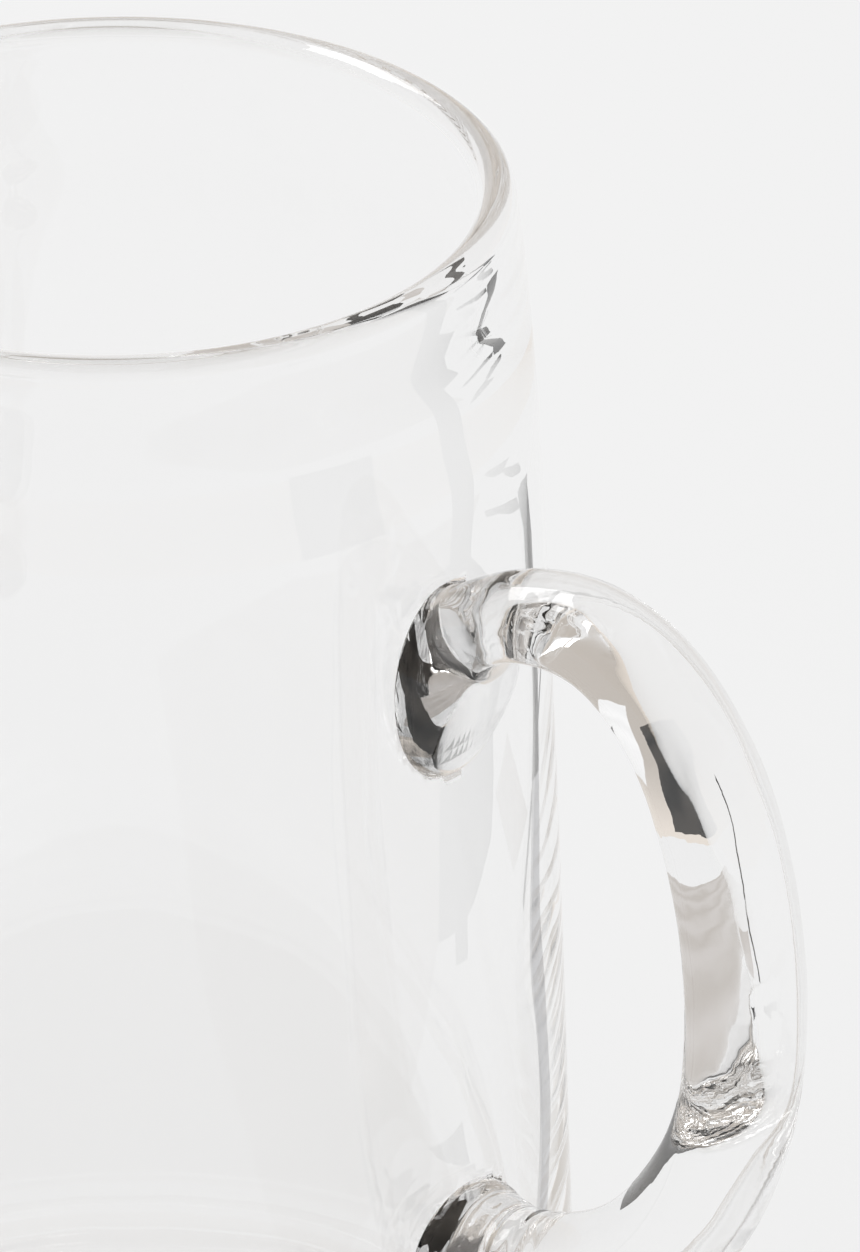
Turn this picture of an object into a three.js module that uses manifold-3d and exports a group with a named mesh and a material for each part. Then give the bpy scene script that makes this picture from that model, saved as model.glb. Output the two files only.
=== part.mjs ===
// Glass pitcher: a mouth-blown body with a pulled pouring lip, and a solid handle fused to its wall.
// Millimetres, +Z up, origin at the centre of the underside. The handle points along +X, the spout along -X.

import * as THREE from 'three';
import { mergeVertices } from 'three/addons/utils/BufferGeometryUtils.js';
import Module from 'manifold-3d';

// Body: outside
const bodyHeight = 200; // underside to top of the lip
const lipRadius = 49; // outside of the lip
const baseRadius = 58.7; // outside of the wall, carried straight down to the underside
const neckIn = 2.5; // how far the lip is drawn in from the straight side
const neckReach = 23.5; // depth over which that drawing in fades
const heelRadius = 8; // round between the wall and the underside

// Body: glass thickness
const wallThickness = 2.2;
const lipThickness = 4.8; // the fire-polished bead
const lipFade = 20; // depth over which the bead thins into the wall
const heelThickening = 4.2; // extra glass at the foot of the wall
const heelFade = 60; // height over which that extra glass fades
const floorThickness = 8;
const floorRadius = 14; // round between the floor and the wall inside

// Pouring lip
const spoutReach = 7; // outward pull of the lip
const spoutDip = 2; // drop of its edge
const spoutDepth = 26; // depth over which the pull fades
const spoutHalfAngle = THREE.MathUtils.degToRad(28);

// Handle: midline, two curves that meet upright where the grip stands farthest out
const upperSeatHeight = 154.5;
const lowerSeatHeight = 69.5;
const gripHeight = 120; // height of the farthest point
const gripReach = 44.6; // wall to midline there
const upperRise = THREE.MathUtils.degToRad(40); // the arm leaves the wall upward
const upperArmPull = 40.5; // length of each curve's control arms
const upperGripPull = 27;
const lowerGripPull = 26.4;
const lowerArmPull = 28;

// Handle: section and seals
const armRadius = 6.1; // by the upper seal
const gripRadius = 7.7;
const gripStart = 0.42; // share of the midline by which the arm has swelled to the grip
const lowArmRadius = 8; // by the lower seal
const lowSealSpread = 1.7; // extra radius where the lower end is pressed on the wall
const lowSealReach = 5; // length over which that spread fades
const pressedShare = 0.48; // distance of the flat inner face from the midline, as a share of the local radius
const roundShare = 1.6; // the same share where nothing is pressed, far enough out to leave the section round
const pressedEdge = 0.9; // softness of the flat face's edges
const pressStart = 0.02; // shares of the midline where the flat face starts, is full, fades and ends
const pressFull = 0.1;
const pressFade = 0.56;
const pressEnd = 0.84;
const upperSealHalfWidth = 9;
const upperSealHalfHeight = 12.6;
const upperSealDrop = 5.2; // seal centre below the arm
const upperSealThickness = 5.7;
const upperSealRound = 4.3; // round edge of the pressed seal
const upperSealTilt = THREE.MathUtils.degToRad(18); // it thins towards its tip
const seatGap = 0.3; // clearance between the handle and the wall

// Facets
const turnSteps = 84; // round the body
const wallSteps = 15; // up each face of the wall
const arcSteps = 6; // along each round of the profile
const beadSteps = 8; // over the lip
const handleSteps = 44; // along the handle
const handleSides = 24; // round the handle
const sealSides = 20; // per half of the upper seal's outline
const buried = 3; // how far the handle's raw ends start inside the wall
const mergeDistance = 1e-4; // vertices closer than this are one

const lipCentreHeight = bodyHeight - lipThickness / 2;

// Outside of the wall: a straight taper, less the drawing in under the lip.
function outerRadius(height) {
  const depth = lipCentreHeight - height;
  const taper = (baseRadius - lipRadius - neckIn) / lipCentreHeight;
  return lipRadius + taper * depth + neckIn * (1 - Math.exp(-depth / neckReach));
}

// Thick at the bead, thin in the middle, thicker again towards the heel.
function glassThickness(height) {
  const bead = (lipThickness - wallThickness) * Math.exp(-(lipCentreHeight - height) / lipFade);
  const foot = heelThickening * (Math.exp(-height / heelFade) - Math.exp(-lipCentreHeight / heelFade));
  return wallThickness + bead + foot;
}

function innerRadius(height) {
  return outerRadius(height) - glassThickness(height);
}

// Points of an arc, both ends included.
function arc(centreX, centreY, radius, fromAngle, toAngle, steps) {
  const points = [];
  for (let step = 0; step <= steps; step++) {
    const angle = fromAngle + (toAngle - fromAngle) * step / steps;
    points.push(new THREE.Vector2(centreX + radius * Math.cos(angle), centreY + radius * Math.sin(angle)));
  }
  return points;
}

// Points up or down one face of the wall, both ends left out.
function wallPoints(radiusAt, fromHeight, toHeight) {
  const points = [];
  for (let step = 1; step < wallSteps; step++) {
    const height = fromHeight + (toHeight - fromHeight) * step / wallSteps;
    points.push(new THREE.Vector2(radiusAt(height), height));
  }
  return points;
}

// Underside, heel and outside wall, moved outward by an offset.
function outsideProfile(offset) {
  const grown = (height) => outerRadius(height) + offset;
  const heelCentre = outerRadius(heelRadius) - heelRadius;
  return [
    new THREE.Vector2(0, -offset),
    ...arc(heelCentre, heelRadius, heelRadius + offset, -Math.PI / 2, 0, arcSteps),
    ...wallPoints(grown, heelRadius, lipCentreHeight),
  ];
}

// Over the bead and down the inside to the middle of the floor.
function insideProfile() {
  const beadRadius = lipThickness / 2;
  const floorCentreHeight = floorThickness + floorRadius;
  const floorCentre = innerRadius(floorCentreHeight) - floorRadius;
  return [
    ...arc(lipRadius - beadRadius, lipCentreHeight, beadRadius, 0, Math.PI, beadSteps),
    ...wallPoints(innerRadius, lipCentreHeight, floorCentreHeight),
    ...arc(floorCentre, floorCentreHeight, floorRadius, 0, -Math.PI / 2, arcSteps),
    new THREE.Vector2(0, floorThickness),
  ];
}

// A profile of (radius, height) turned about Z.
function turned(profile) {
  return new THREE.LatheGeometry(profile, turnSteps).rotateX(Math.PI / 2);
}

// Draws the lip outward and a little down, most at the middle of the spout and at the very edge.
function pullSpout(geometry) {
  const place = geometry.attributes.position;
  for (let index = 0; index < place.count; index++) {
    const x = place.getX(index);
    const y = place.getY(index);
    const height = place.getZ(index);
    const fromSpout = Math.abs(Math.atan2(y, -x));
    if (fromSpout >= spoutHalfAngle) continue;
    const across = Math.cos(fromSpout / spoutHalfAngle * Math.PI / 2) ** 2;
    const pull = across * Math.exp(-(((bodyHeight - height) / spoutDepth) ** 2));
    const radius = Math.hypot(x, y) + spoutReach * pull;
    const angle = Math.atan2(y, x);
    place.setXYZ(index, radius * Math.cos(angle), radius * Math.sin(angle), height - spoutDip * pull);
  }
  geometry.computeVertexNormals();
  return geometry;
}

// The handle's midline, from inside the wall at the upper seal to inside the wall at the lower one.
function handleMidline() {
  const point = (x, z) => new THREE.Vector3(x, 0, z);
  const upperSeat = point(outerRadius(upperSeatHeight), upperSeatHeight);
  const lowerSeat = point(outerRadius(lowerSeatHeight), lowerSeatHeight);
  const gripX = outerRadius(gripHeight) + gripReach;
  const rise = point(Math.cos(upperRise), Math.sin(upperRise));
  const path = new THREE.CurvePath();
  path.add(new THREE.LineCurve3(upperSeat.clone().addScaledVector(rise, -buried), upperSeat));
  path.add(new THREE.CubicBezierCurve3(
    upperSeat,
    upperSeat.clone().addScaledVector(rise, upperArmPull),
    point(gripX, gripHeight + upperGripPull),
    point(gripX, gripHeight),
  ));
  path.add(new THREE.CubicBezierCurve3(
    point(gripX, gripHeight),
    point(gripX, gripHeight - lowerGripPull),
    point(lowerSeat.x + lowerArmPull, lowerSeatHeight),
    lowerSeat,
  ));
  path.add(new THREE.LineCurve3(lowerSeat, point(lowerSeat.x - buried, lowerSeatHeight)));
  return path;
}

// Slim at the upper arm, full along the grip, spread where the lower end meets the wall.
function handleRadius(share, length) {
  const swell = THREE.MathUtils.smoothstep(share, 0, gripStart);
  const rod = THREE.MathUtils.lerp(armRadius, gripRadius, swell);
  const low = (lowArmRadius - gripRadius) * THREE.MathUtils.smoothstep(share, gripStart, 1);
  const toWall = Math.max(length * (1 - share) - buried, 0);
  return rod + low + lowSealSpread * Math.exp(-((toWall / lowSealReach) ** 2));
}

// The side of the hot rod that faces the wall is pressed flat along the grip: a point's reach towards the wall
// is held under the flat face's distance from the midline, with soft edges.
function pressedReach(reach, radius, share) {
  const starting = THREE.MathUtils.smoothstep(share, pressStart, pressFull);
  const ending = THREE.MathUtils.smoothstep(share, pressFade, pressEnd);
  const limit = radius * THREE.MathUtils.lerp(roundShare, pressedShare, starting * (1 - ending));
  return limit - pressedEdge * Math.log1p(Math.exp((limit - reach) / pressedEdge));
}

// Rings of points joined into one closed skin with fan ends.
function skin(rings) {
  const sides = rings[0].length;
  const place = rings.flat().flatMap((point) => point.toArray());
  const faces = [];
  for (let ring = 0; ring + 1 < rings.length; ring++) {
    for (let side = 0; side < sides; side++) {
      const here = ring * sides + side;
      const next = ring * sides + (side + 1) % sides;
      faces.push(here, next, next + sides, here, next + sides, here + sides);
    }
  }
  const last = (rings.length - 1) * sides;
  for (let side = 1; side + 1 < sides; side++) {
    faces.push(0, side + 1, side, last, last + side, last + side + 1);
  }
  const geometry = new THREE.BufferGeometry();
  geometry.setAttribute('position', new THREE.Float32BufferAttribute(place, 3));
  geometry.setIndex(faces);
  return geometry;
}

// Sections along the midline, round on the outside and flat where they are pressed.
function handleRod() {
  const path = handleMidline();
  const length = path.getLength();
  const across = new THREE.Vector3(0, 1, 0);
  const rings = [];
  for (let step = 0; step <= handleSteps; step++) {
    const share = step / handleSteps;
    const centre = path.getPointAt(share);
    const toWall = new THREE.Vector3().crossVectors(across, path.getTangentAt(share));
    const radius = handleRadius(share, length);
    const ring = [];
    for (let side = 0; side < handleSides; side++) {
      const angle = 2 * Math.PI * side / handleSides;
      const reach = pressedReach(-radius * Math.sin(angle), radius, share);
      ring.push(centre.clone()
        .addScaledVector(across, radius * Math.cos(angle))
        .addScaledVector(toWall, reach));
    }
    rings.push(ring);
  }
  return skin(rings);
}

// The upper end pressed flat on the wall: an oval pad with a round edge, hanging below the arm.
function upperSeal() {
  const oval = new THREE.Shape();
  const halfWidth = upperSealHalfWidth - upperSealRound;
  const halfHeight = upperSealHalfHeight - upperSealRound;
  oval.absellipse(0, 0, halfWidth, halfHeight, 0, 2 * Math.PI);
  const height = upperSeatHeight - upperSealDrop;
  const pad = new THREE.ExtrudeGeometry(oval, {
    depth: buried + upperSealThickness - upperSealRound,
    curveSegments: sealSides,
    bevelThickness: upperSealRound,
    bevelSize: upperSealRound,
    bevelSegments: arcSteps,
  });
  pad.translate(0, 0, -buried);
  pad.rotateZ(Math.PI / 2).rotateY(Math.PI / 2 + upperSealTilt);
  return pad.translate(outerRadius(height), 0, height);
}

const wasm = await Module();
wasm.setup();

function solid(geometry) {
  const bare = geometry.clone();
  bare.deleteAttribute('normal');
  bare.deleteAttribute('uv');
  const merged = mergeVertices(bare, mergeDistance);
  return new wasm.Manifold(new wasm.Mesh({
    numProp: 3,
    vertProperties: new Float32Array(merged.attributes.position.array),
    triVerts: new Uint32Array(merged.index.array),
  }));
}

function geometryOf(manifold) {
  const mesh = manifold.getMesh();
  const geometry = new THREE.BufferGeometry();
  geometry.setAttribute('position', new THREE.BufferAttribute(mesh.vertProperties, 3));
  geometry.setIndex(new THREE.BufferAttribute(mesh.triVerts, 1));
  geometry.computeVertexNormals();
  return geometry;
}

function bodyGeometry() {
  return pullSpout(turned([...outsideProfile(0), ...insideProfile()]));
}

// The rod and its seal joined, then cut back to the wall with the seat gap.
function handleGeometry() {
  const seat = turned([...outsideProfile(seatGap), new THREE.Vector2(0, lipCentreHeight)]);
  return geometryOf(solid(handleRod()).add(solid(upperSeal())).subtract(solid(seat)));
}

function glassPiece(name, geometry) {
  const glass = new THREE.MeshStandardMaterial({ color: 0xf2f4f3, roughness: 0.02, metalness: 0 });
  const mesh = new THREE.Mesh(geometry, glass);
  mesh.name = name;
  return mesh;
}

const pitcher = new THREE.Group();
pitcher.add(glassPiece('blown_body', bodyGeometry()));
pitcher.add(glassPiece('applied_handle', handleGeometry()));

export default pitcher;
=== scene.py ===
# %% [markdown]
# Glass pitcher
#
# The real object is two gathers of clear glass: a mouth-blown body with a rounded lip, and a solid handle that was
# pressed on the hot wall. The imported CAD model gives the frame, the sizes and the two nodes. Here each node is
# replaced by a finer mesh with the unevenness of hand work, then both get glass, a studio and a camera.

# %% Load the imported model
import math

import bmesh
import bpy
import numpy as np
from mathutils import Matrix, Vector


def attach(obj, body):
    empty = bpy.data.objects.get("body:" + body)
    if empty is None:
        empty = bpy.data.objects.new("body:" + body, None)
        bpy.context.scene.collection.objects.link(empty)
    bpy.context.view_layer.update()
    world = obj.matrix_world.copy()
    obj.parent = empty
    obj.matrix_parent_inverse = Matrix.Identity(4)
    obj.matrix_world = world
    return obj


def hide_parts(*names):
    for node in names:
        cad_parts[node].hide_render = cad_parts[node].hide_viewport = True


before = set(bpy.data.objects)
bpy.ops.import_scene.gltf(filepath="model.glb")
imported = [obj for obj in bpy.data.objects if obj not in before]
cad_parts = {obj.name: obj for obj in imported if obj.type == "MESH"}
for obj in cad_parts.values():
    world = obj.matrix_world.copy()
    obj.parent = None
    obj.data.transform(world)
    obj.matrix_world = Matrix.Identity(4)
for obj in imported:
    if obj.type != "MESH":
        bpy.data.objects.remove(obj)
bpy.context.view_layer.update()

MM = 0.001

# %% [markdown]
# The body's profile
#
# A blown body is round, so one profile of radius against height says nearly everything. It could be a drawn curve
# with a Screw modifier, but the handle has to follow the same wall, so the radius is a function that both use.

# %% Sizes of the body
body_height = 200 * MM
lip_radius = 49 * MM
base_radius = 58.7 * MM
neck_in = 2.5 * MM
neck_reach = 23.5 * MM
heel_radius = 8 * MM
wall_thickness = 2.2 * MM
lip_thickness = 4.8 * MM
lip_fade = 20 * MM
heel_thickening = 4.2 * MM
heel_fade = 60 * MM
floor_thickness = 8 * MM
floor_radius = 14 * MM
lip_centre_height = body_height - lip_thickness / 2


def outer_radius(height):
    """Outside of the wall: a straight taper, drawn in under the lip."""
    depth = lip_centre_height - height
    taper = (base_radius - lip_radius - neck_in) / lip_centre_height
    return lip_radius + taper * depth + neck_in * (1 - np.exp(-depth / neck_reach))


def glass_thickness(height):
    """Thick at the lip, thin in the middle, thicker towards the heel."""
    bead = (lip_thickness - wall_thickness) * np.exp(-(lip_centre_height - height) / lip_fade)
    foot = heel_thickening * (np.exp(-height / heel_fade) - math.exp(-lip_centre_height / heel_fade))
    return wall_thickness + bead + foot


def inner_radius(height):
    return outer_radius(height) - glass_thickness(height)


for height in (20 * MM, 100 * MM, 180 * MM):
    print(f"wall at {height / MM:.0f} mm: radius {outer_radius(height) / MM:.1f},",
          f"glass {glass_thickness(height) / MM:.1f} mm")

# %% Profile points
wall_steps = 104
arc_steps = 16
bead_steps = 28


def arc(centre_radius, centre_height, radius, start, end, steps):
    """Points of an arc as (radius, height), both ends included."""
    angle = np.linspace(start, end, steps + 1)
    return np.stack([centre_radius + radius * np.cos(angle), centre_height + radius * np.sin(angle)], axis=1)


def wall_points(radius_at, start, end):
    """Points up or down one face of the wall, both ends left out."""
    height = np.linspace(start, end, wall_steps + 1)[1:-1]
    return np.stack([radius_at(height), height], axis=1)


def outside_profile(offset=0.0):
    """Heel and outside wall, moved outward by an offset."""
    heel_centre = outer_radius(heel_radius) - heel_radius
    heel = arc(heel_centre, heel_radius, heel_radius + offset, -math.pi / 2, 0, arc_steps)
    return np.vstack([heel, wall_points(lambda h: outer_radius(h) + offset, heel_radius, lip_centre_height)])


def inside_profile():
    """Over the lip and down the inside to the floor."""
    bead = lip_thickness / 2
    floor_centre = floor_thickness + floor_radius
    lip = arc(lip_radius - bead, lip_centre_height, bead, 0, math.pi, bead_steps)
    corner = arc(inner_radius(floor_centre) - floor_radius, floor_centre, floor_radius, 0, -math.pi / 2, arc_steps)
    return np.vstack([lip, wall_points(inner_radius, lip_centre_height, floor_centre), corner])


outside_count = len(outside_profile())
inside_count = len(inside_profile())
print("profile points outside and inside:", outside_count, inside_count)

# %% [markdown]
# The unevenness of blown glass
#
# A mouth-blown wall is never quite round or even: it carries slow waves, and under the lip a swell of thicker glass
# is left on the inside, fullest beside the handle. A Displace modifier with a noise texture could do it, but sums of a few sine waves are smooth
# at any density, repeat exactly, and can be asked for at the handle's seat too.

# %% Waves of the wall
outer_wave = 0.08 * MM
inner_wave = 0.12 * MM
wave_start, wave_full = 20 * MM, 45 * MM
neck_start, neck_full = 140 * MM, 168 * MM
neck_evenness = 0.75
swell_height = 183 * MM
swell_depth = 1.8 * MM
swell_reach = 9 * MM
swell_side = math.radians(40)
swell_change = 0.3


def smoothstep(value, start, end):
    share = np.clip((value - start) / (end - start), 0, 1)
    return share * share * (3 - 2 * share)


def slow_waves(turn, height, seed):
    """Three crossing waves and one upright streak between -1 and 1, each a whole number of times round."""
    first = np.sin(2 * turn + 2 * math.pi * height / (120 * MM) + seed)
    second = np.sin(5 * turn - 2 * math.pi * height / (62 * MM) + 2.1 * seed)
    third = np.sin(9 * turn + 2 * math.pi * height / (41 * MM) + 3.3 * seed)
    drawn = np.sin(31 * turn + 2 * np.sin(2 * math.pi * height / (90 * MM) + seed))
    return (first + 0.6 * second + 0.35 * third + 0.05 * drawn) / 2


def wave_share(height):
    """None at the heel, all of it up the wall, little at the neck, which was turned true with a tool."""
    return smoothstep(height, wave_start, wave_full) * (1 - neck_evenness * smoothstep(height, neck_start, neck_full))


def outer_unevenness(turn, height):
    return outer_wave * slow_waves(turn, height, 0.7) * wave_share(height)


def inner_unevenness(turn, height):
    """Waves of the inside face, less the swell of glass under the lip, fullest on one side."""
    waves = inner_wave * slow_waves(turn, height, 2.9) * wave_share(height)
    depth = swell_depth * (1 - swell_change * (1 - np.cos(turn - swell_side)))
    return waves - depth * np.exp(-((height - swell_height) / swell_reach) ** 2)


print("largest wave outside in mm:", outer_wave / MM)

# %% [markdown]
# The body
#
# The profile is turned about Z into one closed skin. The pouring lip was pulled out of the soft rim with a tool, so
# the same pull is applied to the points near the spout: outward and a little down, fading below the rim.

# %% Turn the body
turn_steps = 360
spout_reach = 7 * MM
spout_dip = 2 * MM
spout_depth = 26 * MM
spout_half_angle = math.radians(28)


def mesh_object(name, points, faces):
    mesh = bpy.data.meshes.new(name)
    mesh.from_pydata([tuple(point) for point in points], [], faces)
    mesh.update()
    piece = bpy.data.objects.new(name, mesh)
    bpy.context.scene.collection.objects.link(piece)
    return piece


def turned(name, profile, unevenness, low, high, pull=None):
    """A profile turned about Z into a closed skin, with a centre point at each end."""
    turn = np.arange(turn_steps) * 2 * math.pi / turn_steps
    height = np.repeat(profile[:, 1:], turn_steps, axis=1)
    radius = profile[:, :1] + unevenness(turn[None, :], height)
    points = np.stack([radius * np.cos(turn), radius * np.sin(turn), height], axis=2)
    if pull:
        points = pull(points)
    points = np.vstack([points.reshape(-1, 3), [[0, 0, low], [0, 0, high]]])
    rings = len(profile)
    low_point = rings * turn_steps
    last = (rings - 1) * turn_steps
    faces = []
    for side in range(turn_steps):
        beside = (side + 1) % turn_steps
        for ring in range(0, last, turn_steps):
            upper = ring + turn_steps
            faces.append((ring + side, ring + beside, upper + beside, upper + side))
        faces.append((low_point, beside, side))
        faces.append((low_point + 1, last + side, last + beside))
    return mesh_object(name, points, faces)


def pull_spout(points):
    x, y, height = points[..., 0], points[..., 1], points[..., 2]
    away = np.minimum(np.abs(np.arctan2(y, -x)) / spout_half_angle, 1)
    pull = np.cos(away * math.pi / 2) ** 2 * np.exp(-((body_height - height) / spout_depth) ** 2)
    radius = np.hypot(x, y) + spout_reach * pull
    turn = np.arctan2(y, x)
    return np.stack([radius * np.cos(turn), radius * np.sin(turn), height - spout_dip * pull], axis=2)


def body_unevenness(turn, height):
    """The outside's waves for the first rows of the profile, the inside's for the rest."""
    rows = np.arange(len(height))[:, None]
    over_lip = smoothstep(rows, outside_count, outside_count + bead_steps)
    return outer_unevenness(turn, height) * (1 - over_lip) + inner_unevenness(turn, height) * over_lip


body = turned("blown_body_glass", np.vstack([outside_profile(), inside_profile()]), body_unevenness,
              0.0, floor_thickness, pull_spout)
print("body points:", len(body.data.vertices))

# %% [markdown]
# The handle's midline
#
# A handle is a hot rod of glass: pressed on high up, bent over into an ear, and stuck on again lower down. A Bezier
# curve object with a bevel would give a round rod, but this one swells and is flat on its inside, so its sections
# are laid along the midline one by one, on the same two curves that the CAD model has.

# %% Midline of the handle
upper_seat_height = 154.5 * MM
lower_seat_height = 69.5 * MM
grip_height = 120 * MM
grip_reach = 44.6 * MM
upper_rise = math.radians(40)
upper_arm_pull = 40.5 * MM
upper_grip_pull = 27 * MM
lower_grip_pull = 26.4 * MM
lower_arm_pull = 28 * MM
buried = 3 * MM
rod_rings = 200
curve_steps = 400


def bezier(start, leave, arrive, end):
    share = np.linspace(0, 1, curve_steps + 1)[:, None]
    rest = 1 - share
    return start * rest ** 3 + 3 * leave * share * rest ** 2 + 3 * arrive * share ** 2 * rest + end * share ** 3


def handle_midline():
    """Evenly spaced (x, z) points from inside the wall at the upper seal to inside it at the lower one."""
    upper_seat = np.array([outer_radius(upper_seat_height), upper_seat_height])
    lower_seat = np.array([outer_radius(lower_seat_height), lower_seat_height])
    far = np.array([outer_radius(grip_height) + grip_reach, grip_height])
    rise = np.array([math.cos(upper_rise), math.sin(upper_rise)])
    upright = np.array([0.0, 1.0])
    outward = np.array([1.0, 0.0])
    upper = bezier(upper_seat, upper_seat + upper_arm_pull * rise, far + upper_grip_pull * upright, far)
    lower = bezier(far, far - lower_grip_pull * upright, lower_seat + lower_arm_pull * outward, lower_seat)
    line = np.vstack([upper_seat - buried * rise, upper, lower[1:], lower_seat - buried * outward])
    along = np.concatenate([[0], np.cumsum(np.linalg.norm(np.diff(line, axis=0), axis=1))])
    even = np.linspace(0, along[-1], rod_rings + 1)
    return np.stack([np.interp(even, along, line[:, axis]) for axis in (0, 1)], axis=1), along[-1]


midline, midline_length = handle_midline()
midline_share = np.linspace(0, 1, rod_rings + 1)
print(f"midline: {midline_length / MM:.1f} mm")

# %% [markdown]
# The handle's section
#
# The maker flattened the inner side of the hot rod with a paddle. Light that enters the round outside then leaves
# through a nearly plane face, and that is what makes the broad grey band down the grip and the dark patches in the
# bend. The flat is pressed with a soft limit, and turned a little because it was done by eye.

# %% Rod of the handle
arm_radius = 6.1 * MM
grip_radius = 7.7 * MM
grip_start = 0.42
low_arm_radius = 8 * MM
low_seal_spread = 1.7 * MM
low_seal_reach = 5 * MM
fold_height = 0.35 * MM
fold_width = 4.5 * MM
fold_reach = 9 * MM
pressed_share = 0.48
round_share = 1.6
pressed_edge = 0.9 * MM
press_start, press_full, press_fade, press_end = 0.02, 0.10, 0.56, 0.84
paddle_turn = math.radians(10)
cord_height = 0.07 * MM
cord_fade, cord_end = 0.34, 0.60
rod_sides = 96


def rod_radius(share):
    """Slim at the upper arm, full along the grip, spread where the lower end meets the wall."""
    rod = arm_radius + (grip_radius - arm_radius) * smoothstep(share, 0, grip_start)
    low = (low_arm_radius - grip_radius) * smoothstep(share, grip_start, 1)
    to_wall = np.maximum(midline_length * (1 - share) - buried, 0)
    folds = fold_height * np.sin(2 * math.pi * to_wall / fold_width) * np.exp(-(to_wall / fold_reach) ** 2)
    return rod + low + folds + low_seal_spread * np.exp(-(to_wall / low_seal_reach) ** 2)


def cords(angle, share):
    """Drawn-out cords of the rod between -1 and 1: narrow around it, long and wandering along it."""
    first = np.sin(7 * angle + 4 * math.sin(2 * math.pi * 3 * share))
    second = np.sin(11 * angle - 3 * math.sin(2 * math.pi * 4.3 * share + 1))
    return (first + 0.7 * second) / 1.7 * (1 - smoothstep(share, cord_fade, cord_end))


def pressed_section(share, radius):
    """One ring as (towards the wall, across), flat on the paddle's side where the rod was pressed."""
    angle = np.arange(rod_sides) * 2 * math.pi / rod_sides
    pressed = smoothstep(share, press_start, press_full) * (1 - smoothstep(share, press_fade, press_end))
    limit = radius * (round_share + (pressed_share - round_share) * pressed)
    uneven = radius + cord_height * cords(angle, share)
    reach = uneven * np.sin(angle)
    reach = limit - pressed_edge * np.log1p(np.exp((limit - reach) / pressed_edge))
    reach += cord_height * pressed * cords(2 * angle, share)
    across = uneven * np.cos(angle)
    return (reach * math.cos(paddle_turn) - across * math.sin(paddle_turn),
            reach * math.sin(paddle_turn) + across * math.cos(paddle_turn))


def skin(name, rings):
    """Rings of points joined into one closed skin with flat ends."""
    count, sides = rings.shape[:2]
    faces = []
    for ring in range(count - 1):
        for side in range(sides):
            here = ring * sides + side
            beside = ring * sides + (side + 1) % sides
            faces.append((here, here + sides, beside + sides, beside))
    faces.append(tuple(range(sides)))
    faces.append(tuple(reversed(range((count - 1) * sides, count * sides))))
    piece = mesh_object(name, rings.reshape(-1, 3), faces)
    shell = bmesh.new()
    shell.from_mesh(piece.data)
    bmesh.ops.recalc_face_normals(shell, faces=shell.faces)
    shell.to_mesh(piece.data)
    shell.free()
    return piece


def handle_rod():
    tangent = np.gradient(midline, axis=0)
    tangent /= np.linalg.norm(tangent, axis=1)[:, None]
    rings = []
    for (x, z), (along_x, along_z), share in zip(midline, tangent, midline_share):
        reach, across = pressed_section(share, rod_radius(share))
        rings.append(np.stack([x + along_z * reach, across, z - along_x * reach], axis=1))
    return skin("applied_handle_glass", np.array(rings))


handle = handle_rod()
print("rod points:", len(handle.data.vertices))

# %% [markdown]
# The upper seal
#
# Where the rod was first pressed on, its end spread into an oval pad with a round edge that thins towards its tip.
# It is a small loft of ovals, tilted into the wall.

# %% Pad of the upper seal
seal_half_width = 9 * MM
seal_half_height = 12.6 * MM
seal_drop = 5.2 * MM
seal_thickness = 5.7 * MM
seal_round = 4.3 * MM
seal_tilt = math.radians(18)
seal_sides = 96
seal_steps = 12


def seal_pad():
    height = upper_seat_height - seal_drop
    turn = np.arange(seal_sides) * 2 * math.pi / seal_sides
    bend = np.linspace(0, math.pi / 2, seal_steps)
    depths = np.concatenate([[-2 * buried], seal_thickness - seal_round + seal_round * np.sin(bend)])
    insets = np.concatenate([[0], seal_round * (1 - np.cos(bend))])
    rings = []
    for depth, inset in zip(depths, insets):
        across = (seal_half_width - inset) * np.cos(turn)
        upward = (seal_half_height - inset) * np.sin(turn)
        x = depth * math.cos(seal_tilt) + upward * math.sin(seal_tilt)
        z = upward * math.cos(seal_tilt) - depth * math.sin(seal_tilt)
        rings.append(np.stack([outer_radius(height) + x, across, height + z], axis=1))
    return skin("seal_pad", np.array(rings))


pad = seal_pad()
print("pad points:", len(pad.data.vertices))

# %% [markdown]
# Melt the pad and the rod together
#
# Hot glass leaves no crease, so a plain union isn't enough. The union is remeshed into small even cells and smoothed,
# which rounds the join in the same way as surface tension does.

# %% Melt the handle
cell = 0.4 * MM
smoothing = 40


def apply_modifier(piece, kind, **settings):
    modifier = piece.modifiers.new(kind, kind)
    for name, value in settings.items():
        setattr(modifier, name, value)
    bpy.context.view_layer.objects.active = piece
    bpy.ops.object.modifier_apply(modifier=modifier.name)


apply_modifier(handle, "BOOLEAN", object=pad, operation="UNION", solver="MANIFOLD")
bpy.data.objects.remove(pad)
apply_modifier(handle, "REMESH", mode="VOXEL", voxel_size=cell)
apply_modifier(handle, "SMOOTH", factor=0.5, iterations=smoothing)
print("melted handle points:", len(handle.data.vertices))

# %% [markdown]
# Fuse the handle to the wall
#
# On the real pitcher the two gathers are one glass at the seals: light crosses there without a bend. Both pieces stay
# separate closed solids here, so the handle is cut to the wall a hair under its surface, the body takes that print,
# and the faces that meet get a contact material later.

# %% Seat the handle
imprint = 0.05 * MM
seat = turned("seat_cutter", outside_profile(-imprint), outer_unevenness, imprint, lip_centre_height)
apply_modifier(handle, "BOOLEAN", object=seat, operation="DIFFERENCE", solver="MANIFOLD")
bpy.data.objects.remove(seat)
apply_modifier(body, "BOOLEAN", object=handle, operation="DIFFERENCE", solver="MANIFOLD")

for piece in (body, handle):
    shell = bmesh.new()
    shell.from_mesh(piece.data)
    loose = sum(not edge.is_manifold for edge in shell.edges)
    print(f"{piece.name}: {len(shell.verts)} points, {loose} open edges,",
          f"{shell.calc_volume(signed=True) / MM ** 3 / 1000:.1f} cm3")
    shell.free()
    piece.data.shade_smooth()

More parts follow.
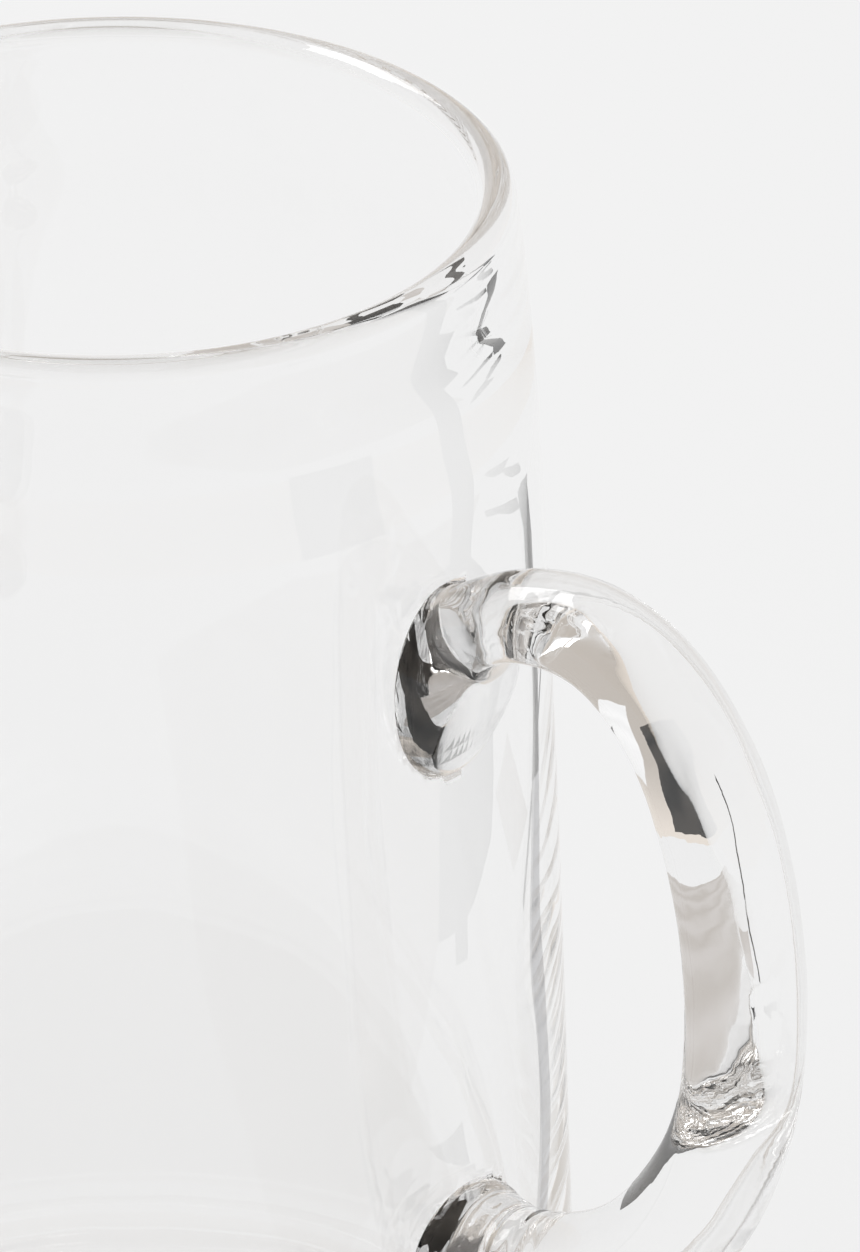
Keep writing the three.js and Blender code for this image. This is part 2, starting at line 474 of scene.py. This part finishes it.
# %% [markdown]
# Glass
#
# Both pieces are clear soda-lime glass, index about 1.52. The body was blown and fire-polished: smooth, with faint
# drawn-out streaks where the melt wasn't even. The handle was worked with tools while it was hot, which leaves finer,
# rounder ripples. The streaks could be real geometry, but they are far finer than the mesh, so a bump carries them.

# %% Node helper and colours


def linear(hex_colour):
    """An sRGB hex colour as linear RGBA."""
    channels = [int(hex_colour[index:index + 2], 16) / 255 for index in (1, 3, 5)]
    return [c / 12.92 if c <= 0.04045 else ((c + 0.055) / 1.055) ** 2.4 for c in channels] + [1.0]


def add_node(tree, kind, settings=None, links=None):
    """Adds a node, sets its properties or inputs by name or number, and links other nodes' sockets to it."""
    node = tree.nodes.new(kind)
    for name, value in (settings or {}).items():
        if isinstance(name, str) and hasattr(node, name):
            setattr(node, name, value)
        else:
            node.inputs[name].default_value = value
    for name, socket in (links or {}).items():
        tree.links.new(socket, node.inputs[name])
    return node


def new_material(name):
    material = bpy.data.materials.new(name)
    material.use_nodes = True
    material.node_tree.nodes.clear()
    return material


print("white of the studio, linear:", [round(value, 3) for value in linear("#F2F2F2")])

# %% Glass materials
glass_index = 1.52
clear_tint = "#FEFEFE"
streak_width = 14 * MM
streak_length = 60 * MM
streak_height = 0.012 * MM
ripple_width = 5 * MM
ripple_height = 0.02 * MM


def glass(name, width, length, height):
    """Clear glass with streaks of a given width and length drawn along Z, seen only as a slight wobble."""
    material = new_material(name)
    tree = material.node_tree
    place = add_node(tree, "ShaderNodeTexCoord")
    drawn = add_node(tree, "ShaderNodeMapping", {"Scale": (1, 1, width / length)},
                     {"Vector": place.outputs["Object"]})
    streaks = add_node(tree, "ShaderNodeTexNoise", {"Scale": 1 / width, "Detail": 2.0, "Roughness": 0.4},
                       {"Vector": drawn.outputs["Vector"]})
    wobble = add_node(tree, "ShaderNodeBump", {"Strength": 1.0, "Distance": height},
                      {"Height": streaks.outputs["Fac"]})
    surface = add_node(tree, "ShaderNodeBsdfPrincipled",
                       {"Base Color": linear(clear_tint), "Roughness": 0.0, "IOR": glass_index,
                        "Transmission Weight": 1.0},
                       {"Normal": wobble.outputs["Normal"]})
    add_node(tree, "ShaderNodeOutputMaterial", None, {"Surface": surface.outputs["BSDF"]})
    return material


# Blown and fire-polished: mirror-smooth, with long faint streaks.
blown_glass = glass("soda_lime_glass_blown", streak_width, streak_length, streak_height)
# Worked hot with a paddle: smooth too, with short rounded ripples.
worked_glass = glass("soda_lime_glass_hot_worked", ripple_width, ripple_width, ripple_height)
print("glass materials:", blown_glass.name, worked_glass.name)

# %% Contact of the fused seals
# Where two gathers have fused there is no surface left: an index of 1 lets light straight through.
contact = new_material("soda_lime_glass_fused_contact")
contact_surface = add_node(contact.node_tree, "ShaderNodeBsdfPrincipled",
                           {"Base Color": linear("#FFFFFF"), "Roughness": 0.0, "IOR": 1.0,
                            "Transmission Weight": 1.0})
add_node(contact.node_tree, "ShaderNodeOutputMaterial", None, {"Surface": contact_surface.outputs["BSDF"]})
seal_side_reach = 20 * MM
seal_top = 180 * MM


def dress(piece, material):
    """Glass on every face, and the contact on the faces that lie on the seat."""
    mesh = piece.data
    mesh.materials.clear()
    mesh.materials.append(material)
    mesh.materials.append(contact)
    centre = np.empty(len(mesh.polygons) * 3)
    mesh.polygons.foreach_get("center", centre)
    x, y, z = centre.reshape(-1, 3).T
    depth = outer_radius(z) + outer_unevenness(np.arctan2(y, x), z) - np.hypot(x, y)
    fused = np.abs(depth - imprint) < imprint / 3
    fused &= (x > 0) & (np.abs(y) < seal_side_reach) & (z < seal_top)
    mesh.polygons.foreach_set("material_index", fused.astype(np.int32))
    mesh.update()
    print(piece.name, "fused faces:", int(fused.sum()))


dress(body, blown_glass)
dress(handle, worked_glass)

# %% Say what each piece stands for
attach(body, "root")
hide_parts("blown_body")
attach(handle, "root")
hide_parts("applied_handle")
print("pieces ride on the one body, root")

# %% [markdown]
# The camera
#
# The photograph is a close crop from a long way off. The rim's ellipse and the taper of the sides give the tilt, and
# the rim's size gives the distance: a focal length of 9000 pixels in a picture 860 wide and 1252 high.

# %% Camera
picture_width, picture_height = 860, 1252
focal_pixels = 9000
camera_tilt = math.radians(28.93)
camera_turn = math.radians(40)
rim_pixel = (113.04, 199.46)
rim_pixels_per_mm = 8.2525
sensor = 36

lens = bpy.data.cameras.new("photo_camera")
lens.sensor_width = sensor
lens.lens = focal_pixels * sensor / picture_height
lens.clip_end = 100
camera = bpy.data.objects.new("photo_camera", lens)
bpy.context.scene.collection.objects.link(camera)
bpy.context.scene.camera = camera

look = Vector((0, math.cos(camera_tilt), -math.sin(camera_tilt)))
rise = Vector((0, math.sin(camera_tilt), math.cos(camera_tilt)))
right = Vector((1, 0, 0))
rim_right = rim_pixel[0] - picture_width / 2
rim_down = rim_pixel[1] - picture_height / 2
to_camera = -(look * focal_pixels + right * rim_right - rise * rim_down) / rim_pixels_per_mm * MM
rim_centre = Matrix.Translation((0, 0, lip_centre_height))
studio_turn = Matrix.Rotation(camera_turn, 4, "Z")
aim = Matrix((right, rise, -look)).transposed().to_4x4()
camera.matrix_world = rim_centre @ studio_turn @ Matrix.Translation(to_camera) @ aim
print("camera at", [round(value, 3) for value in camera.matrix_world.translation])

# %% [markdown]
# The floor
#
# A pale table that shows evenly to the camera and through the glass, and still takes a soft shadow: most of what is
# seen is its own even white, the rest is lit by the lamps. Other rays meet a plain matt floor.

# %% Floor
floor_half = 8.0
floor_drop = 0.2 * MM
floor_colour = "#F2F2F2"
even_white = 0.8


def floor_material():
    material = new_material("matt_painted_table")
    tree = material.node_tree
    path = add_node(tree, "ShaderNodeLightPath")
    seen = add_node(tree, "ShaderNodeMath", {"operation": "MAXIMUM"},
                    {0: path.outputs["Is Camera Ray"], 1: path.outputs["Is Glossy Ray"]})
    shown = add_node(tree, "ShaderNodeMath", {"operation": "MAXIMUM"},
                     {0: seen.outputs[0], 1: path.outputs["Is Transmission Ray"]})
    share = add_node(tree, "ShaderNodeMath", {"operation": "MULTIPLY", 1: even_white}, {0: shown.outputs[0]})
    matt = add_node(tree, "ShaderNodeBsdfDiffuse", {"Color": linear(floor_colour)})
    white = add_node(tree, "ShaderNodeEmission", {"Color": linear(floor_colour), "Strength": 1.0})
    mixed = add_node(tree, "ShaderNodeMixShader", None,
                     {0: share.outputs[0], 1: matt.outputs[0], 2: white.outputs[0]})
    add_node(tree, "ShaderNodeOutputMaterial", None, {"Surface": mixed.outputs[0]})
    return material


floor = mesh_object("table_top", [(-floor_half, -floor_half, -floor_drop), (floor_half, -floor_half, -floor_drop),
                                  (floor_half, floor_half, -floor_drop), (-floor_half, floor_half, -floor_drop)],
                    [(0, 1, 2, 3)])
floor.data.materials.append(floor_material())
print("floor reaches", floor_half, "m each way")

# %% [markdown]
# Cards beside the picture
#
# Clear glass on white needs something dark beside it, or its edges vanish. A photographer lays and stands black and
# grey cards just out of the picture. Some of the lying ones are painted shade: a grey sheet where the floor in front
# and to the right lies in shade, a black strip where the black screen shades the floor at its foot, and a grey disc
# for the shadow under the base. The solid handle bends light so much that it gathers all of them: the dark edge of
# the upper seal, the black patch in the bend and the grey band of the grip are each the image of one card, the grey
# band that of the painted floor shade. They could be boxes of black cloth, but flat cards are enough. They are seen
# through the glass only, so they hide nothing from the camera.

# %% Cards
card_lift = 1 * MM
vein_width = 110 * MM
vein_wander = 5.0
faces_of_one_piece = 2
black_paper = ("#060606", "#3A3632")
dark_paper = ("#A4A4A6", "#B2B2B4")
# Greys of painted shade: the floor in front of and to the right of the pitcher, in shade away from the lamp.
painted_shade_grey = ("#C0BAB4", "#CDC8C4")
white_paper = ("#F4F4F4", "#FBFBFB")
# Greys of the painted shadow under the base.
shade_paper = ("#A09992", "#AAA49D")
shade_radius = 46 * MM
shade_sides = 48


def card(name, colours, corners, plain_sight=False):
    """A matt card veined with two tones. Its corners are right of the camera's view, away from it, and up.

    It is seen in light that was turned back inside the glass and, in plain sight, through one piece of glass too.
    """
    points = [studio_turn @ Vector(corner) for corner in corners]
    piece = mesh_object(name, points, [tuple(range(len(points)))])
    material = new_material(name + "_paper")
    tree = material.node_tree
    place = add_node(tree, "ShaderNodeTexCoord")
    veins = add_node(tree, "ShaderNodeTexWave",
                     {"bands_direction": "DIAGONAL", "Scale": 2 * math.pi / (20 * vein_width),
                      "Distortion": vein_wander, "Detail": 3.0, "Detail Scale": 1.5},
                     {"Vector": place.outputs["Object"]})
    paper = add_node(tree, "ShaderNodeMix", {"data_type": "RGBA", 6: linear(colours[0]), 7: linear(colours[1])},
                     {0: veins.outputs["Fac"]})
    tone = add_node(tree, "ShaderNodeEmission", {"Strength": 1.0}, {"Color": paper.outputs[2]})
    light_path = add_node(tree, "ShaderNodeLightPath")
    turned_back = add_node(tree, "ShaderNodeMath", {"operation": "SUBTRACT", "use_clamp": True},
                           {0: light_path.outputs["Ray Depth"], 1: light_path.outputs["Transmission Depth"]})
    seen = turned_back
    if plain_sight:
        one_piece = add_node(tree, "ShaderNodeMath", {"operation": "COMPARE", 1: faces_of_one_piece, 2: 0.5},
                             {0: light_path.outputs["Transmission Depth"]})
        seen = add_node(tree, "ShaderNodeMath", {"operation": "MAXIMUM"},
                        {0: turned_back.outputs[0], 1: one_piece.outputs[0]})
    passed = add_node(tree, "ShaderNodeBsdfTransparent")
    shown = add_node(tree, "ShaderNodeMixShader", None,
                     {0: seen.outputs[0], 1: passed.outputs[0], 2: tone.outputs[0]})
    add_node(tree, "ShaderNodeOutputMaterial", None, {"Surface": shown.outputs[0]})
    piece.data.materials.append(material)
    piece.visible_camera = False
    piece.visible_diffuse = False
    piece.visible_glossy = False
    piece.visible_shadow = False
    return piece


def lying(*spots, lift=card_lift):
    return [(right_of, away, lift) for right_of, away in spots]


def standing(start, end, low, high):
    return [(*start, low), (*end, low), (*end, high), (*start, high)]


# Painted shade: a grey sheet where the floor in front and to the right lies in shade; the grip's grey band is its
# image.
card("painted_floor_shade", painted_shade_grey, lying((0.10, -0.110), (0.10, -0.516), (1.0, -0.9), (1.0, 0.42), (0.16, -0.075)))
# Painted shade too: the same grey on the floor further back, beside the dark strips.
card("grey_edge", painted_shade_grey, lying((0.185, 0.150), (0.205, 0.110), (0.260, 0.095), (0.260, 0.140)),
     plain_sight=True)
card("black_edge", black_paper, lying((0.168, 0.120), (0.174, 0.120), (0.184, 0.190), (0.164, 0.235),
                                      (0.158, 0.235), (0.178, 0.190)), plain_sight=True)
card("black_near", black_paper, lying((0.095, -0.045), (0.17, -0.045), (0.17, 0.0), (0.135, 0.012), (0.115, 0.0),
                                      (0.095, -0.012), lift=2 * card_lift), plain_sight=True)
# Painted shade: a black strip on the floor around the foot of the black screen, where the screen shades it.
card("black_long", black_paper, lying((0.25, -0.020), (0.30, -0.005), (0.44, 0.12), (0.34, 0.16), (0.25, 0.08),
                                      lift=2 * card_lift))
card("dark_strip_near", dark_paper, lying((0.090, 0.060), (0.110, 0.052), (0.125, 0.083), (0.141, 0.113),
                                          (0.166, 0.148), (0.182, 0.168), (0.162, 0.182), (0.144, 0.160),
                                          (0.119, 0.125), (0.105, 0.093)))
card("dark_strip_far", black_paper, lying((0.162, 0.182), (0.182, 0.168), (0.215, 0.220), (0.255, 0.265),
                                          (0.300, 0.285), (0.345, 0.315), (0.345, 0.345), (0.305, 0.365),
                                          (0.280, 0.335), (0.245, 0.305), (0.212, 0.275), (0.190, 0.235)))
card("dark_strip_side", black_paper, lying((0.300, 0.285), (0.345, 0.262), (0.420, 0.250), (0.500, 0.225),
                                           (0.560, 0.240), (0.500, 0.262), (0.420, 0.280), (0.345, 0.305)))
card("dark_strip_end", black_paper, lying((0.40, 0.39), (0.50, 0.395), (0.67, 0.46), (0.74, 0.51), (1.02, 0.56),
                                          (1.90, 0.90), (1.90, 1.00), (0.95, 0.75), (0.84, 0.58), (0.60, 0.50),
                                          (0.51, 0.48), (0.41, 0.41)))
card("black_stick", black_paper, standing((0.112, -0.020), (0.112, -0.012), 0.07, 0.12))
# Painted shade: a grey disc under the base for the contact shadow where little light reaches under the pitcher; it
# shows only in light turned back inside the glass.
shade_turn = np.arange(shade_sides) * 2 * math.pi / shade_sides
card("base_shade", shade_paper, lying(*zip(shade_radius * np.cos(shade_turn), shade_radius * np.sin(shade_turn)),
                                      lift=-floor_drop / 2))
card("black_screen", black_paper, standing((0.32, 0.03), (0.44, 0.13), 0.0, 0.34))
card("black_screen_high", black_paper, standing((0.63, -0.17), (0.54, -0.45), 0.15, 0.60))
card("white_screen", white_paper, standing((0.60, -0.07), (0.52, 0.22), 0.27, 0.80))
print("cards lie and stand to the right of the picture")

# %% [markdown]
# Light
#
# Soft light from all round and one large soft lamp from the upper left. Together they light a matt white card to
# about white, so colours render as they are written. What the glass mirrors and bends is a studio that gets darker
# towards its ceiling.

# %% Light
world = bpy.data.worlds.new("soft_studio")
bpy.context.scene.world = world
world.use_nodes = True
world.node_tree.nodes.clear()
world_light = 0.78
wall_colour = "#F2F2F2"
studio_colour = "#FFF5EA"
wall_tone = 0.80
ceiling_tone = 0.52
ceiling_rise = 0.35
path = add_node(world.node_tree, "ShaderNodeLightPath")
direction = add_node(world.node_tree, "ShaderNodeTexCoord")
upward = add_node(world.node_tree, "ShaderNodeSeparateXYZ", None, {0: direction.outputs["Generated"]})
studio_tone = add_node(world.node_tree, "ShaderNodeMapRange",
                       {"From Min": 0.0, "From Max": ceiling_rise, "To Min": wall_tone, "To Max": ceiling_tone},
                       {"Value": upward.outputs["Z"]})
fill = add_node(world.node_tree, "ShaderNodeBackground", {"Color": linear("#FFFFFF"), "Strength": world_light})
around = add_node(world.node_tree, "ShaderNodeBackground", {"Color": linear(studio_colour)},
                  {"Strength": studio_tone.outputs[0]})
walls = add_node(world.node_tree, "ShaderNodeBackground", {"Color": linear(wall_colour), "Strength": 1.0})
in_glass = add_node(world.node_tree, "ShaderNodeMath", {"operation": "MAXIMUM"},
                    {0: path.outputs["Is Glossy Ray"], 1: path.outputs["Is Transmission Ray"]})
lit = add_node(world.node_tree, "ShaderNodeMixShader", None,
               {0: in_glass.outputs[0], 1: fill.outputs[0], 2: around.outputs[0]})
seen = add_node(world.node_tree, "ShaderNodeMixShader", None,
                {0: path.outputs["Is Camera Ray"], 1: lit.outputs[0], 2: walls.outputs[0]})
add_node(world.node_tree, "ShaderNodeOutputWorld", None, {"Surface": seen.outputs[0]})

lamp_data = bpy.data.lights.new("soft_lamp", "AREA")
lamp_data.shape = "RECTANGLE"
lamp_data.size = 0.9
lamp_data.size_y = 0.6
lamp_data.energy = 7.2
lamp = bpy.data.objects.new("soft_lamp", lamp_data)
bpy.context.scene.collection.objects.link(lamp)
lamp_place = Vector((-0.8, 0.5, 1.3))
lamp.matrix_world = (studio_turn @ Matrix.Translation(lamp_place)
                     @ (-lamp_place).to_track_quat("-Z", "Y").to_matrix().to_4x4())
lamp.visible_camera = False
print("lamp at", [round(value, 2) for value in lamp.matrix_world.translation])

# %% Settings for looking through many faces of glass
scene = bpy.context.scene
scene.view_settings.view_transform = "Standard"
light_bounces = 96
scene.cycles.max_bounces = light_bounces
scene.cycles.transmission_bounces = light_bounces
scene.cycles.glossy_bounces = light_bounces
print("bounces:", scene.cycles.max_bounces)
